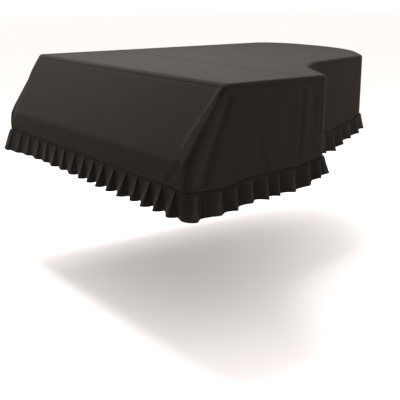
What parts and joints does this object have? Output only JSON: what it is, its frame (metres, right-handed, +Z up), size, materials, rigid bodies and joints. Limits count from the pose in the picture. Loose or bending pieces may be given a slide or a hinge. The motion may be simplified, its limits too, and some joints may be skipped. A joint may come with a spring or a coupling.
{
  "type": "fitted grand piano cover",
  "caption": "Hollow fitted cloth cover for a grand piano, with a flat top, a sloping front, curved sides and a pleated frill round its lower edge.",
  "frame": {"origin": "underside of the top cloth, midway across the width and 0.85 m behind the front of the keyboard, where the piano's lid carries the cover", "axes": "+Z up, +Y from the keyboard to the tail, +X to the treble side with the curved edge"},
  "size_m": [1.6111, 1.7997, 0.4735],
  "materials": {
    "panel_cloth": "matt charcoal knitted cloth",
    "frill_cloth": "matt charcoal knitted cloth, pleated"
  },
  "bodies": {
    "root": {"top_front_panel": "panel_cloth", "top_rear_panel": "panel_cloth", "front_panel": "panel_cloth", "treble_panel": "panel_cloth", "bentside_panel": "panel_cloth", "tail_panel": "panel_cloth", "spine_panel": "panel_cloth", "frill_front": "frill_cloth", "frill_treble": "frill_cloth", "frill_bentside": "frill_cloth", "frill_tail": "frill_cloth", "frill_spine": "frill_cloth"}
  },
  "joints": []
}
